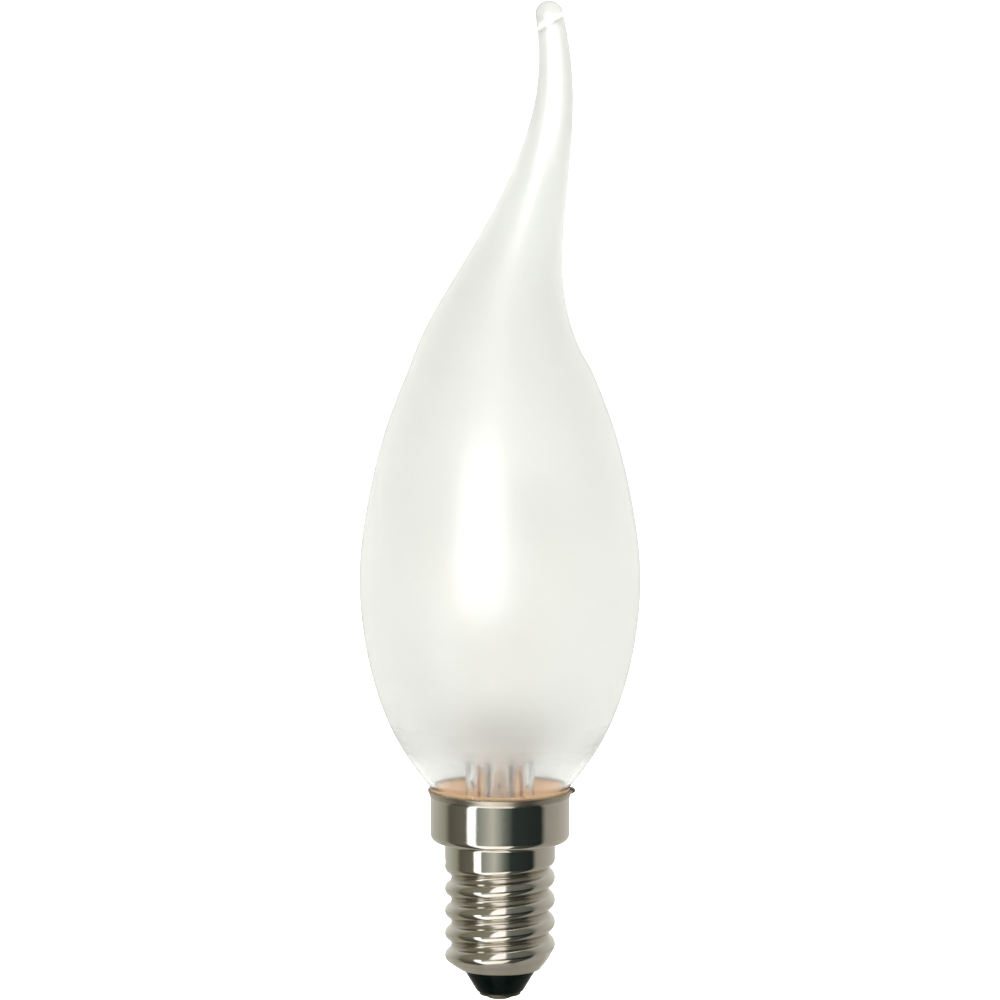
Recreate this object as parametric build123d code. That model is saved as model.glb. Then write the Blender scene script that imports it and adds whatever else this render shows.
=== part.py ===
from build123d import *
import os
from math import cos, pi, radians, sin, sqrt

# Candle lamp with a bent flame tip: a blown glass bulb, frosted, in a nickel-plated E14 screw cap.
# Lengths are in millimetres. The lamp's axis is Z, its centre contact rests on Z = 0 and its tip is up.
# The tip leans towards +X.

# Whole lamp
overall_length = 125.0
bulb_diameter = 35.0
belly_height = 53.5

# Blown glass bulb
glass_wall = 0.7
mouth_height = 21.6
neck_top_height = 23.0
bowl_depth = 30.3
bowl_start_angle = 34.0
bowl_stations = 5
# Flame above the belly: (share of the way up to the tip, share left of the radius that it loses on the way)
flame_outline = [
    (0.13, 0.935),
    (0.265, 0.79),
    (0.40, 0.553),
    (0.53, 0.311),
    (0.66, 0.157),
    (0.80, 0.064),
    (0.91, 0.022),
]
tip_diameter = 3.4
tip_lean = 6.8
lean_start_share = 0.37
lean_end_share = 0.89
tip_return = 0.75
bead_diameter = 3.45
bore_end_diameter = 0.8
bore_end_below_top = 5.0

# E14 screw cap, rolled from thin sheet
sheet = 0.3
thread_diameter = 13.8
thread_pitch = 2.822
thread_depth = 0.8
crest_share = 0.64
crest_height = 7.05
thread_top_height = 18.4
thread_fade_height = 1.5
slices_per_turn = 8
section_points = 20
rim_height = 3.95
rim_diameter = 9.9
bowl_height = 2.0
groove_start_height = 0.6
band_diameter = 13.5
band_seam = 0.04
skirt_diameter = 17.4
skirt_foot_height = 20.1
skirt_top_height = 25.8
lip_height = 26.6
lip_flare = 0.4
bend_radius = 0.3

# Cement ring between the neck and the skirt
cement_thickness = 1.4
cement_gap = 0.35
cement_rise = 0.15

# Insulator of black glass, with the centre contact under it
insulator_foot_height = 0.95
insulator_foot_diameter = 5.6
insulator_foot_round = 0.35
insulator_top_height = 7.0
insulator_dish = 1.2
insulator_dish_diameter = 5.0
insulator_clearance = 0.05
contact_diameter = 5.2
contact_thickness = 0.3
eyelet_bore = 1.4
eyelet_wall = 0.25
eyelet_height = 1.2
contact_solder_diameter = 4.4
solder_plug_height = 0.9
side_solder_diameter = 0.9

# Glass stem: flared tube, pinch that seals the wires, and the exhaust tube inside
stem_diameter = 8.5
stem_wall = 1.0
stem_top_height = 33.0
flare_height = 4.5
flare_edge = 0.9
seal_clearance = 0.1
pinch_width = 9.0
pinch_thickness = 3.2
pinch_round = 1.2
pinch_start_height = 37.5
pinch_top_height = 43.0
exhaust_diameter = 4.0
exhaust_bore = 2.6
exhaust_foot_height = 13.0
exhaust_port_diameter = 1.8

# Wires and coil
lead_diameter = 0.4
lead_spacing = 5.4
lead_bend = 0.8
lead_splay = 13.0
lead_top_height = 58.6
wire_clearance = 0.05
support_diameter = 0.3
support_spacing = 2.4
support_splay = 4.0
support_bend = 4.0
support_depth = 1.5
coil_diameter = 0.7
coil_height = 63.0
coil_flat = 7.2
coil_bend = 1.5
coil_play = 0.05

# Radii that several pieces share
belly_radius = bulb_diameter / 2
thread_radius = thread_diameter / 2
rim_radius = rim_diameter / 2
band_radius = band_diameter / 2
skirt_radius = skirt_diameter / 2
lip_radius = skirt_radius + lip_flare
neck_radius = skirt_radius - sheet - cement_thickness
skirt_corner = (skirt_radius - band_radius) / 2
lead_radius = lead_diameter / 2
coil_radius = coil_diameter / 2
throat_radius = lip_radius - sheet - cement_gap
tip_height = overall_length - bead_diameter / 2
contact_foot_height = insulator_foot_height - contact_thickness
exhaust_radius = exhaust_diameter / 2


def ease(share):
    """Goes from 0 to 1 with a level start and end, for a share that is held between 0 and 1."""
    held = min(max(share, 0.0), 1.0)
    return held * held * (3.0 - 2.0 * held)


def lean(height):
    """The sideways place of the centre line: upright below, an S-bend, and a small return at the tip."""
    share = (height - belly_height) / (tip_height - belly_height)
    bend = tip_lean * ease((share - lean_start_share) / (lean_end_share - lean_start_share))
    past = max(share - lean_end_share, 0.0) / (1.0 - lean_end_share)
    return bend - tip_return * past * past


def ring(height, radius):
    """A circle of the blown glass, square to the bent centre line."""
    step = 0.01
    slope = (lean(height + step) - lean(height - step)) / (2 * step)
    plane = Plane(origin=(lean(height), 0, height), x_dir=(1, 0, -slope), z_dir=(slope, 0, 1))
    return plane * Circle(radius)


def outline():
    """Heights and outer radii of the blown bulb: neck, elliptical bowl up to the belly, then the flame."""
    stations = [(mouth_height, neck_radius), (neck_top_height, neck_radius), (lip_height, throat_radius)]
    for count in range(bowl_stations):
        turned = count / (bowl_stations - 1)
        angle = radians(bowl_start_angle + (90.0 - bowl_start_angle) * turned)
        stations.append((belly_height - bowl_depth * cos(angle), belly_radius * sin(angle)))
    tip_radius = tip_diameter / 2
    for way, left in flame_outline:
        height = belly_height + (tip_height - belly_height) * way
        stations.append((height, tip_radius + (belly_radius - tip_radius) * left))
    return stations


def blown_body():
    """The bulb's outer form without its bore, closed by the round bead at the tip."""
    rings = [ring(height, radius) for height, radius in outline()]
    rings.append(ring(tip_height, tip_diameter / 2))
    bead = Pos(lean(tip_height), 0, tip_height) * Sphere(bead_diameter / 2)
    return loft(rings) + bead


def make_glass_bulb(body):
    """The blown wall: the outer form less a bore that narrows away inside the tip."""
    rings = [ring(height, radius - glass_wall) for height, radius in outline()]
    rings.append(ring(overall_length - bore_end_below_top, bore_end_diameter / 2))
    mouth = Pos(0, 0, mouth_height) * Cylinder(neck_radius - glass_wall, 2 * glass_wall)
    return body - loft(rings, ruled=True) - mouth


def groove(turn):
    """Depth of the screw's round profile below its crest, at a share of a turn from the crest.

    Crest and root are two arcs that meet in a tangent, so pitch and depth set the sum of their radii.
    """
    radii = (thread_pitch ** 2 / 4 + thread_depth ** 2) / (2 * thread_depth)
    crest_arc = radii * crest_share
    root_arc = radii - crest_arc
    along = abs((turn + 0.5) % 1.0 - 0.5) * thread_pitch
    if along < thread_pitch / 2 * crest_share:
        return crest_arc - sqrt(crest_arc ** 2 - along ** 2)
    return thread_depth - root_arc + sqrt(root_arc ** 2 - (thread_pitch / 2 - along) ** 2)


def thread_section(height, inset):
    """One level section through the rolled thread, which fades out at the rim and at the band."""
    way = min(max((height - rim_height) / bowl_height, 0.0), 1.0)
    crest = rim_radius + (thread_radius - rim_radius) * sqrt(1.0 - (1.0 - way) ** 2)
    fade_out = ease((height - thread_top_height + thread_fade_height) / thread_fade_height)
    crest += (band_radius - band_seam - crest) * fade_out
    strength = ease((height - rim_height) / groove_start_height) * (1.0 - fade_out)
    points = []
    for count in range(section_points):
        share = count / section_points
        radius = crest - inset - strength * groove((height - crest_height) / thread_pitch - share)
        points.append((radius * cos(2 * pi * share), radius * sin(2 * pi * share), height))
    return Face(Wire([Spline(*points, periodic=True)]))


def thread_core(inset):
    """The screw's form as thin slices between level sections."""
    length = thread_top_height - rim_height
    slices = round(length / thread_pitch * slices_per_turn)
    heights = [rim_height + length * count / slices for count in range(slices + 1)]
    return loft([thread_section(height, inset) for height in heights], ruled=True)


def turned_ring(corners, rounds):
    """A ring turned about the axis from (radius, height) corners, with (corner number, round) pairs."""
    section = make_face(Polyline(*corners, close=True))
    for number, size in rounds:
        spot = Vector(*corners[number])
        corner = min(section.vertices(), key=lambda vertex: (Vector(vertex.X, vertex.Y) - spot).length)
        section = fillet(corner, size)
    return revolve(Plane.XZ * section, Axis.Z)


def make_cap_shell(side_lead_channel):
    """The cap's one sheet: rolled thread, smooth band, wide skirt and flared lip."""
    corners = [
        (band_radius, thread_top_height),
        (band_radius, skirt_foot_height),
        (skirt_radius, skirt_foot_height),
        (skirt_radius, skirt_top_height),
        (lip_radius, lip_height),
        (lip_radius - sheet, lip_height),
        (skirt_radius - sheet, skirt_top_height),
        (skirt_radius - sheet, skirt_foot_height + sheet),
        (band_radius - sheet, skirt_foot_height + sheet),
        (band_radius - sheet, thread_top_height),
    ]
    rounds = [(1, bend_radius), (2, skirt_corner), (7, skirt_corner - sheet), (8, bend_radius + sheet)]
    upper = turned_ring(corners, rounds)
    screw = thread_core(0.0) - thread_core(sheet)
    return upper + screw - side_lead_channel


def make_capping_cement(body, side_lead):
    """The cement that fills the space between the skirt and the neck, up to the lip."""
    inside = skirt_radius - sheet
    corners = [
        (neck_radius - glass_wall, mouth_height),
        (inside, mouth_height),
        (inside, skirt_top_height),
        (lip_radius - sheet, lip_height),
        (lip_radius - sheet, lip_height + cement_rise),
        (neck_radius - glass_wall, lip_height + cement_rise),
    ]
    return turned_ring(corners, []) - body - side_lead


def make_cap_insulator():
    """The black glass button: a cone outside the rim, and a plug inside the shell round the eyelet."""
    bore = eyelet_bore / 2 + eyelet_wall + insulator_clearance
    at_rim = rim_radius - sheet - insulator_clearance
    inside = thread_radius - thread_depth - sheet - insulator_clearance
    shoulder_height = rim_height + bowl_height
    corners = [
        (bore, insulator_foot_height),
        (insulator_foot_diameter / 2, insulator_foot_height),
        (at_rim, rim_height),
        (inside, shoulder_height),
        (inside, insulator_top_height),
        (insulator_dish_diameter / 2, insulator_top_height - insulator_dish),
        (bore, insulator_top_height - insulator_dish),
    ]
    return turned_ring(corners, [(1, insulator_foot_round)])


def make_contact_plate():
    """The centre contact's brass disc with the eyelet that is drawn up from it."""
    bore = eyelet_bore / 2
    tube = bore + eyelet_wall
    corners = [
        (bore, contact_foot_height),
        (contact_diameter / 2, contact_foot_height),
        (contact_diameter / 2, insulator_foot_height),
        (tube, insulator_foot_height),
        (tube, insulator_foot_height + eyelet_height),
        (bore, insulator_foot_height + eyelet_height),
    ]
    return turned_ring(corners, [(1, contact_thickness / 2)])


def make_contact_solder(contact_lead):
    """The solder dome under the contact, with the plug that holds the wire in the eyelet."""
    reach = contact_solder_diameter / 2
    ball = (reach ** 2 + contact_foot_height ** 2) / (2 * contact_foot_height)
    slab = Pos(0, 0, contact_foot_height / 2) * Cylinder(reach, contact_foot_height)
    dome = (Pos(0, 0, ball) * Sphere(ball)) & slab
    plug_middle = contact_foot_height + solder_plug_height / 2
    plug = Pos(0, 0, plug_middle) * Cylinder(eyelet_bore / 2, solder_plug_height)
    return dome + plug - contact_lead


def make_side_solder(shell, cement, side_lead):
    """The bead of solder that joins the side wire to the lip."""
    place = (lip_radius - side_solder_diameter / 8, 0, lip_height - side_solder_diameter / 3)
    return Pos(*place) * Sphere(side_solder_diameter / 2) - shell - cement - side_lead


def wire(points, bends, diameter):
    """A round wire along straight runs with rounded bends, in the XZ plane."""
    path = FilletPolyline(*[(x, 0, z) for x, z in points], radius=bends)
    start = Plane(origin=path @ 0, z_dir=path % 0)
    return sweep(start * Circle(diameter / 2), path=path)


def make_contact_lead():
    """The wire from the coil's left end through the pinch and down the axis to the centre contact."""
    side = -lead_spacing / 2
    drop = exhaust_foot_height - exhaust_radius
    points = [
        (-lead_splay / 2, lead_top_height),
        (-lead_splay / 2, lead_top_height - 2 * lead_bend),
        (side, pinch_top_height + 2 * lead_bend),
        (side, drop),
        (0, drop + side),
        (0, contact_foot_height - contact_thickness),
    ]
    return wire(points, lead_bend, lead_diameter)


def make_side_lead(diameter):
    """The wire from the coil's right end, under the neck's mouth and up through the cement to the lip."""
    side = lead_spacing / 2
    under = skirt_foot_height + sheet + lead_diameter
    outside = (neck_radius + skirt_radius - sheet) / 2
    points = [
        (lead_splay / 2, lead_top_height),
        (lead_splay / 2, lead_top_height - 2 * lead_bend),
        (side, pinch_top_height + 2 * lead_bend),
        (side, under),
        (outside, under),
        (outside, neck_top_height + lead_diameter),
        (skirt_radius - sheet - lead_diameter / 4, skirt_top_height + lead_diameter / 4),
        (lip_radius + lead_diameter / 4, lip_height - lead_diameter / 2),
    ]
    return wire(points, lead_bend / 2, diameter)


def make_support_wire(side):
    """A fine wire set in the pinch, with an eye at its top that carries the coil."""
    eye_radius = coil_radius + coil_play + support_diameter / 2
    points = [
        (side * support_spacing / 2, pinch_top_height - support_depth),
        (side * support_spacing / 2, pinch_top_height + support_bend / 2),
        (side * support_splay / 2, pinch_top_height + 3 * support_bend),
        (side * support_splay / 2, coil_height - eye_radius),
    ]
    eye_place = Pos(side * support_splay / 2, 0, coil_height) * Rot(0, 90, 0)
    eye = eye_place * Torus(eye_radius, support_diameter / 2)
    return wire(points, support_bend / 2, support_diameter) + eye


def make_filament():
    """The tungsten coil, drawn as a rod of the coil's outer diameter, arched between the two lead wires."""
    end = lead_splay / 2 - lead_radius - coil_diameter
    points = [
        (-end, lead_top_height - coil_diameter),
        (-coil_flat / 2, coil_height),
        (coil_flat / 2, coil_height),
        (end, lead_top_height - coil_diameter),
    ]
    return wire(points, coil_bend, coil_diameter)


def make_glass_stem(wires):
    """The stem: a tube flared out to the neck, pinched flat round the wires, with the exhaust tube inside."""
    tube_radius = stem_diameter / 2
    bore_radius = tube_radius - stem_wall
    flare_radius = neck_radius - glass_wall - seal_clearance
    flare_top = mouth_height + flare_height
    corners = [
        (bore_radius, stem_top_height),
        (bore_radius, flare_top),
        (flare_radius - stem_wall, mouth_height),
        (flare_radius, mouth_height),
        (flare_radius, mouth_height + flare_edge),
        (tube_radius, flare_top),
        (tube_radius, stem_top_height),
    ]
    tube = turned_ring(corners, [])
    pinch_outline = RectangleRounded(pinch_width, pinch_thickness, pinch_round)
    pinch_outline = Pos(0, 0, pinch_start_height) * pinch_outline
    shoulder = loft([Pos(0, 0, stem_top_height) * Circle(tube_radius), pinch_outline])
    pinch = extrude(pinch_outline, pinch_top_height - pinch_start_height)
    exhaust_length = stem_top_height - exhaust_foot_height
    exhaust = Pos(0, 0, exhaust_foot_height + exhaust_length / 2) * Cylinder(exhaust_radius, exhaust_length)
    exhaust += Pos(0, 0, exhaust_foot_height) * Sphere(exhaust_radius)
    port_height = stem_top_height + exhaust_port_diameter
    bore_length = port_height - exhaust_foot_height
    bore = Pos(0, 0, exhaust_foot_height + bore_length / 2) * Cylinder(exhaust_bore / 2, bore_length)
    port = Rot(90, 0, 0) * Cylinder(exhaust_port_diameter / 2, tube_radius)
    port = Pos(0, tube_radius / 2, port_height) * port
    stem = tube + shoulder + pinch + exhaust - bore - port
    for piece in wires:
        stem -= piece
    return stem


def main():
    """Builds every piece and writes each to its own file."""
    body = blown_body()
    contact_lead = make_contact_lead()
    side_lead = make_side_lead(lead_diameter)
    shell = make_cap_shell(make_side_lead(lead_diameter + 2 * wire_clearance))
    cement = make_capping_cement(body, side_lead)
    left_support = make_support_wire(-1)
    right_support = make_support_wire(1)
    pieces = {
        "glass_bulb": make_glass_bulb(body),
        "glass_stem": make_glass_stem([contact_lead, side_lead, left_support, right_support]),
        "cap_shell": shell,
        "cap_insulator": make_cap_insulator(),
        "contact_plate": make_contact_plate(),
        "contact_solder": make_contact_solder(contact_lead),
        "side_solder": make_side_solder(shell, cement, side_lead),
        "capping_cement": cement,
        "contact_lead_wire": contact_lead,
        "side_lead_wire": side_lead,
        "left_support_wire": left_support,
        "right_support_wire": right_support,
        "filament": make_filament(),
    }
    os.makedirs("parts", exist_ok=True)
    for name, solid in pieces.items():
        export_step(solid, f"parts/{name}.step")


main()
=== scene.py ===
"""Dresses the candle lamp: a frosted bulb with a bent tip, its nickel screw cap and the stem in its neck.

Sizes are in millimetres, as the lamp is drawn, and become metres where a mesh is made.
"""
import logging
import math
from dataclasses import dataclass
from enum import Enum
from typing import Iterable, Optional, Sequence

import bmesh
import bpy
import numpy as np
from mathutils import Matrix, Vector, noise


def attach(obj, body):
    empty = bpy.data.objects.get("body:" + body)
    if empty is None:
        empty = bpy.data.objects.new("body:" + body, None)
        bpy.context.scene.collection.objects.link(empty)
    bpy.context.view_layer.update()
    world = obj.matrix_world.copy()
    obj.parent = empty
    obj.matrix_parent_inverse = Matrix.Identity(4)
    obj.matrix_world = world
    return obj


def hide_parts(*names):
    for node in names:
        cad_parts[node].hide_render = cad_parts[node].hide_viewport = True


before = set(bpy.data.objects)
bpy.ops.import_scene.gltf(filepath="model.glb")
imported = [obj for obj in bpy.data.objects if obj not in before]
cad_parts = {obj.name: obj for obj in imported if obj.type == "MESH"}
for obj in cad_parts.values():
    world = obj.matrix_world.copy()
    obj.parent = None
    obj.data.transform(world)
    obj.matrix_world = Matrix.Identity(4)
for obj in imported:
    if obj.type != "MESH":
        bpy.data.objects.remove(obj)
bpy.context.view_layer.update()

LOG = logging.getLogger("candle_lamp")
MM = 0.001
BODY = "root"
WELD = 1e-7
RING_NEAR = 2e-6
FULL_TURN = 2.0 * math.pi
WHITE = (1.0, 1.0, 1.0)
BLACK = (0.0, 0.0, 0.0)

Point = tuple[float, float]
Colour = tuple[float, float, float]
Place = tuple[float, float, float]
Mesh = bmesh.types.BMesh
Piece = bpy.types.Object
Material = bpy.types.Material
Socket = bpy.types.NodeSocket


class Slot(Enum):
    """The record's material slots."""

    FROSTED_GLASS = "frosted_glass"
    STEM_GLASS = "stem_glass"
    NICKEL_PLATE = "nickel_plate"
    BLACK_GLASS = "black_glass"
    CONTACT_BRASS = "contact_brass"
    SOLDER = "solder"
    CEMENT = "cement"
    LEAD_COPPER = "lead_copper"
    SUPPORT_METAL = "support_metal"
    TUNGSTEN = "tungsten"


def ease(share: float) -> float:
    """Goes from 0 to 1 with a level start and end, for a share that is held between 0 and 1."""
    held = min(max(share, 0.0), 1.0)
    return held * held * (3.0 - 2.0 * held)


def rise(value: float, foot: float, top: float) -> float:
    """Goes from 0 at a foot to 1 at a top, eased at both ends."""
    return ease((value - foot) / (top - foot))


def shade(colour: Colour, share: float) -> Colour:
    """Takes a colour down to a share of itself."""
    return tuple(part * share for part in colour)


def smooth_line(stations: Sequence[Point], spacing: float) -> list[Point]:
    """Draws a natural cubic line through stations.

    Args:
        stations: Points that the line passes through, in order.
        spacing: Distance between the points of the drawn line.

    Returns:
        Points along the line, the first and last station among them.
    """
    knots = np.array(stations, float)
    places = np.concatenate(([0.0], np.cumsum(np.hypot(*np.diff(knots, axis=0).T))))
    gaps = np.diff(places)
    count = len(knots)
    system = np.eye(count)
    sides = np.zeros((count, 2))
    for row in range(1, count - 1):
        system[row, row - 1] = gaps[row - 1]
        system[row, row] = 2.0 * (gaps[row - 1] + gaps[row])
        system[row, row + 1] = gaps[row]
        slope = (knots[row + 1] - knots[row]) / gaps[row]
        sides[row] = 6.0 * (slope - (knots[row] - knots[row - 1]) / gaps[row - 1])
    bends = np.linalg.solve(system, sides)
    steps = max(2, round(places[-1] / spacing))
    line = []
    for place in np.linspace(0.0, places[-1], steps + 1):
        run = min(int(np.searchsorted(places, place, side="right")) - 1, count - 2)
        gap, past = gaps[run], place - places[run]
        left = gap - past
        spot = (bends[run] * left**3 + bends[run + 1] * past**3) / (6.0 * gap)
        spot += (knots[run] / gap - bends[run] * gap / 6.0) * left
        spot += (knots[run + 1] / gap - bends[run + 1] * gap / 6.0) * past
        line.append((float(spot[0]), float(spot[1])))
    return line


def turn(outline: Sequence[Point], steps: int, closed: bool) -> Mesh:
    """Turns an outline about the lamp's axis.

    Args:
        outline: (radius, height) points.
        steps: Divisions of the full turn.
        closed: Whether the last point joins the first, as in a ring's section.

    Returns:
        The turned mesh, welded, with its faces outwards.
    """
    bm = bmesh.new()
    verts = [bm.verts.new((radius * MM, 0.0, height * MM)) for radius, height in outline]
    pairs = list(zip(verts, verts[1:]))
    if closed:
        pairs.append((verts[-1], verts[0]))
    edges = [bm.edges.new(pair) for pair in pairs]
    bmesh.ops.spin(
        bm,
        geom=verts + edges,
        cent=(0.0, 0.0, 0.0),
        axis=(0.0, 0.0, 1.0),
        angle=FULL_TURN,
        steps=steps,
        use_merge=True,
    )
    bmesh.ops.remove_doubles(bm, verts=bm.verts[:], dist=WELD)
    bmesh.ops.recalc_face_normals(bm, faces=bm.faces[:])
    return bm


def round_ring(bm: Mesh, corner: Point, reach: float, segments: int) -> None:
    """Rounds one turned corner of a mesh.

    Args:
        bm: The turned mesh.
        corner: (radius, height) of the corner's ring.
        reach: How far the round reaches along each side.
        segments: Faces across the round.
    """
    radius, height = corner[0] * MM, corner[1] * MM

    def near(vert: bmesh.types.BMVert) -> bool:
        """Whether a vertex lies on the corner's ring."""
        return abs(vert.co.xy.length - radius) < RING_NEAR and abs(vert.co.z - height) < RING_NEAR

    ring = [edge for edge in bm.edges if all(near(vert) for vert in edge.verts)]
    bmesh.ops.bevel(
        bm, geom=ring, offset=reach * MM, segments=segments, profile=0.5, affect="EDGES", material=-1
    )


def roughen(bm: Mesh, lumps: Point, verts: Optional[Iterable] = None) -> None:
    """Moves vertices along their normals by a smooth noise, so a cast or baked skin isn't perfect.

    Args:
        bm: The mesh.
        lumps: The largest move, and the size of one lump.
        verts: The vertices to move, or all of them.
    """
    size, grain = lumps
    bm.normal_update()
    moved = [(vert, noise.noise(vert.co / (grain * MM))) for vert in (verts or bm.verts)]
    for vert, height in moved:
        vert.co += vert.normal * (height * size * MM)


class NodeBench:
    """Lays out and links the nodes of one shader tree."""

    def __init__(self, tree: bpy.types.NodeTree) -> None:
        """Takes the tree and clears it."""
        self.tree = tree
        self.tree.nodes.clear()

    def add(self, kind: str, inputs: Optional[dict] = None, **settings: object) -> bpy.types.Node:
        """Adds a node.

        Args:
            kind: The node's type.
            inputs: Values, colours or sockets for its inputs, by name or number.
            settings: Properties of the node.

        Returns:
            The new node.
        """
        node = self.tree.nodes.new(kind)
        for key, value in settings.items():
            setattr(node, key, value)
        for key, value in (inputs or {}).items():
            if isinstance(value, Socket):
                self.tree.links.new(value, node.inputs[key])
            else:
                node.inputs[key].default_value = (*value, 1.0) if isinstance(value, tuple) else value
        return node

    def spot(self) -> Socket:
        """Gives the place on the piece, in its own coordinates."""
        return self.add("ShaderNodeTexCoord").outputs["Object"]

    def axes(self, spot: Socket) -> bpy.types.NodeOutputs:
        """Splits a place into its three axes."""
        return self.add("ShaderNodeSeparateXYZ", {0: spot}).outputs

    def mark(self, name: str) -> Socket:
        """Reads a mark that the mesh carries."""
        return self.add("ShaderNodeAttribute", attribute_name=name).outputs["Fac"]

    def cloud(self, spot: Socket, scale: object, detail: object) -> Socket:
        """Adds a smooth noise of a scale and detail, and gives its value."""
        return self.add("ShaderNodeTexNoise", {"Vector": spot, "Scale": scale, "Detail": detail}).outputs[0]

    def math(self, operation: str, *values: object) -> Socket:
        """Adds a Math node on these values or sockets, and gives its result."""
        return self.add("ShaderNodeMath", dict(enumerate(values)), operation=operation).outputs[0]

    def spread(self, value: Socket, low: tuple[object, object], high: tuple[object, object]) -> Socket:
        """Maps a value's range onto another.

        Args:
            value: The socket that varies.
            low: (value, result) at the lower end.
            high: (value, result) at the upper end.

        Returns:
            The mapped value's socket.
        """
        ends = {"Value": value, 1: low[0], 2: high[0], 3: low[1], 4: high[1]}
        return self.add("ShaderNodeMapRange", ends).outputs["Result"]

    def blend(self, share: object, first: object, second: object, kind: str = "MIX") -> Socket:
        """Mixes two colours by a share, and gives the mixed colour's socket."""
        sides = {0: share, 6: first, 7: second}
        return self.add("ShaderNodeMix", sides, data_type="RGBA", blend_type=kind).outputs[2]

    def bump(self, height: Socket, relief: Point, under: Optional[Socket] = None) -> Socket:
        """Adds fine relief.

        Args:
            height: The relief's height.
            relief: Its strength, and its depth in millimetres.
            under: The normal of a relief that it lies on.

        Returns:
            The normal's socket.
        """
        inputs = {"Height": height, "Strength": relief[0], "Distance": relief[1] * MM}
        if under is not None:
            inputs["Normal"] = under
        return self.add("ShaderNodeBump", inputs).outputs["Normal"]


class Effect(Enum):
    """Surface effects that several finishes share."""

    SPECKLE = "fine_speckle"
    DRAWN_LINES = "drawn_lines"
    # Stain in patches, and painted shade in crevices.
    STAIN = "crevice_stain"


class SocketKind(Enum):
    """Kinds of sockets on a shared effect."""

    VALUE = "NodeSocketFloat"
    COLOUR = "NodeSocketColor"


class EffectShelf:
    """Builds each shared effect once and places it in the materials that ask for it."""

    GRAIN_SPAN = (0.32, 0.68)
    PATCH_SPAN = (0.42, 0.72)
    CREVICE_SPAN = (0.3, 0.6)
    CREVICE_LEAST = 0.55

    def __init__(self) -> None:
        """Builds the shared groups."""
        self.groups = {
            Effect.SPECKLE: self.build_speckle(),
            Effect.DRAWN_LINES: self.build_drawn_lines(),
            Effect.STAIN: self.build_stain(),
        }

    @staticmethod
    def new_group(effect: Effect, inputs: dict[str, object], outputs: dict[str, SocketKind]) -> NodeBench:
        """Makes an empty group with its sockets.

        Args:
            effect: The effect that the group holds.
            inputs: Default value or colour by name.
            outputs: Kind of socket by name.

        Returns:
            The group's bench.
        """
        tree = bpy.data.node_groups.new(effect.value, "ShaderNodeTree")
        for name, default in inputs.items():
            coloured = isinstance(default, tuple)
            kind = SocketKind.COLOUR if coloured else SocketKind.VALUE
            socket = tree.interface.new_socket(name, in_out="INPUT", socket_type=kind.value)
            socket.default_value = (*default, 1.0) if coloured else default
        for name, kind in outputs.items():
            tree.interface.new_socket(name, in_out="OUTPUT", socket_type=kind.value)
        return NodeBench(tree)

    def build_speckle(self) -> bpy.types.NodeTree:
        """Fine even grain, as on etched glass, cement or cast metal.

        Returns:
            The group.
        """
        sockets = {"Scale": 1000.0, "Detail": 3.0, "Low": 0.0, "High": 1.0}
        bench = self.new_group(Effect.SPECKLE, sockets, {"Value": SocketKind.VALUE})
        taken = bench.add("NodeGroupInput").outputs
        grain = bench.cloud(bench.spot(), taken["Scale"], taken["Detail"])
        low, high = self.GRAIN_SPAN
        value = bench.spread(grain, (low, taken["Low"]), (high, taken["High"]))
        bench.add("NodeGroupOutput", {"Value": value})
        return bench.tree

    def build_drawn_lines(self) -> bpy.types.NodeTree:
        """Faint lines round the axis, left by drawing, rolling or moulding.

        Returns:
            The group.
        """
        sockets = {"Lines": 6000.0, "Waviness": 120.0}
        bench = self.new_group(Effect.DRAWN_LINES, sockets, {"Value": SocketKind.VALUE})
        taken = bench.add("NodeGroupInput").outputs
        split = bench.axes(bench.spot())
        across = [bench.math("MULTIPLY", split[axis], taken["Waviness"]) for axis in (0, 1)]
        along = bench.math("MULTIPLY", split[2], taken["Lines"])
        joined = bench.add("ShaderNodeCombineXYZ", {0: across[0], 1: across[1], 2: along}).outputs[0]
        bench.add("NodeGroupOutput", {"Value": bench.cloud(joined, scale=1.0, detail=2.0)})
        return bench.tree

    def build_stain(self) -> bpy.types.NodeTree:
        """A clean colour that gives way to a stain in patches, and to painted shade in the stain's colour
        where a crevice mask asks for it.

        Returns:
            The group.
        """
        sockets = {
            "Clean": (0.8, 0.8, 0.8),
            "Stain": (0.3, 0.25, 0.2),
            "Crevice": 0.0,
            "Patches": 0.2,
            "Scale": 250.0,
        }
        results = {"Color": SocketKind.COLOUR, "Mask": SocketKind.VALUE}
        bench = self.new_group(Effect.STAIN, sockets, results)
        taken = bench.add("NodeGroupInput").outputs
        cloud = bench.cloud(bench.spot(), taken["Scale"], detail=5.0)
        low, high = self.PATCH_SPAN
        patches = bench.math("MULTIPLY", bench.spread(cloud, (low, 0.0), (high, 1.0)), taken["Patches"])
        low, high = self.CREVICE_SPAN
        filled = bench.spread(cloud, (low, self.CREVICE_LEAST), (high, 1.0))
        crevice = bench.math("MULTIPLY", taken["Crevice"], filled)
        mask = bench.math("MAXIMUM", patches, crevice)
        colour = bench.blend(mask, taken["Clean"], taken["Stain"])
        bench.add("NodeGroupOutput", {"Color": colour, "Mask": mask})
        return bench.tree

    def place(self, bench: NodeBench, effect: Effect, **values: object) -> bpy.types.NodeOutputs:
        """Places a shared effect in a material.

        Args:
            bench: The material's bench.
            effect: Which effect.
            values: Values, colours or sockets for its inputs.

        Returns:
            The placed group's outputs.
        """
        return bench.add("ShaderNodeGroup", values, node_tree=self.groups[effect]).outputs


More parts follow.
